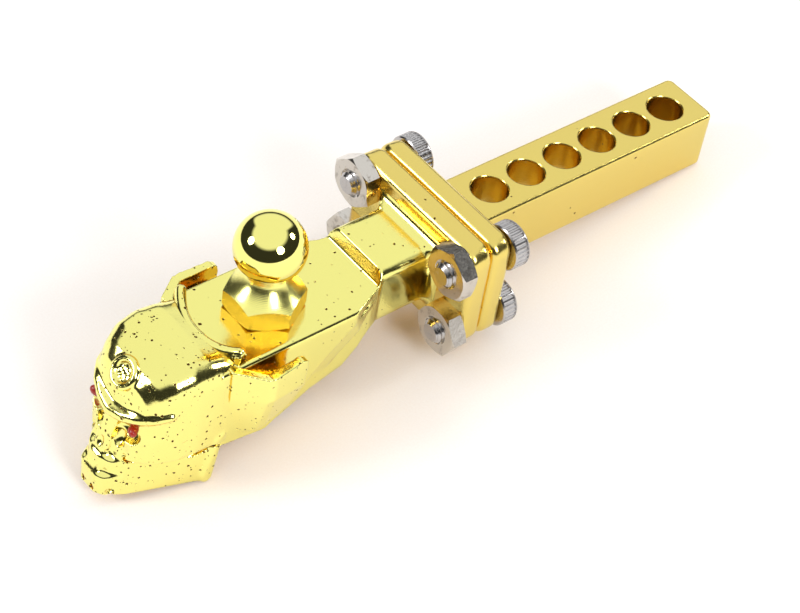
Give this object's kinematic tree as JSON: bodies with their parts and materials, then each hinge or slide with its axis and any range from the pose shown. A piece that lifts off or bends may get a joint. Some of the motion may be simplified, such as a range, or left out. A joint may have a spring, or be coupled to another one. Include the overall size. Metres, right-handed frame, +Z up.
{
  "type": "drop hitch with tow ball",
  "caption": "Small-scale drop hitch: a flanged square drawbar with pin holes, bolted to a cast tongue shaped as a skull, with a hex-based tow ball.",
  "frame": {"origin": "middle of the drawbar's free end face", "axes": "+X out of the drawbar's free end, towards the vehicle; +Z up, the way the ball points; the object is alike on both sides of the plane Y = 0"},
  "size_m": [0.0595, 0.0164, 0.02],
  "materials": {
    "gold_casting": "bright gold-coloured plating on a die casting, with small casting pits",
    "gold_drawbar": "gold-coloured plating, slightly satin",
    "gold_ball": "polished gold-coloured plating with turning marks on the neck",
    "screw_steel": "nickel-plated steel with a knurled head",
    "nut_steel": "bright nickel-plated steel",
    "red_enamel": "glossy red enamel bead"
  },
  "bodies": {
    "root": {"drawbar": "gold_drawbar", "tongue": "gold_casting", "cap_screw_1": "screw_steel", "cap_screw_2": "screw_steel", "cap_screw_3": "screw_steel", "cap_screw_4": "screw_steel", "hex_nut_1": "nut_steel", "hex_nut_2": "nut_steel", "hex_nut_3": "nut_steel", "hex_nut_4": "nut_steel", "hitch_ball": "gold_ball", "ball_lock_washer": "nut_steel", "ball_nut": "nut_steel", "left_eye": "red_enamel", "right_eye": "red_enamel"}
  },
  "joints": []
}
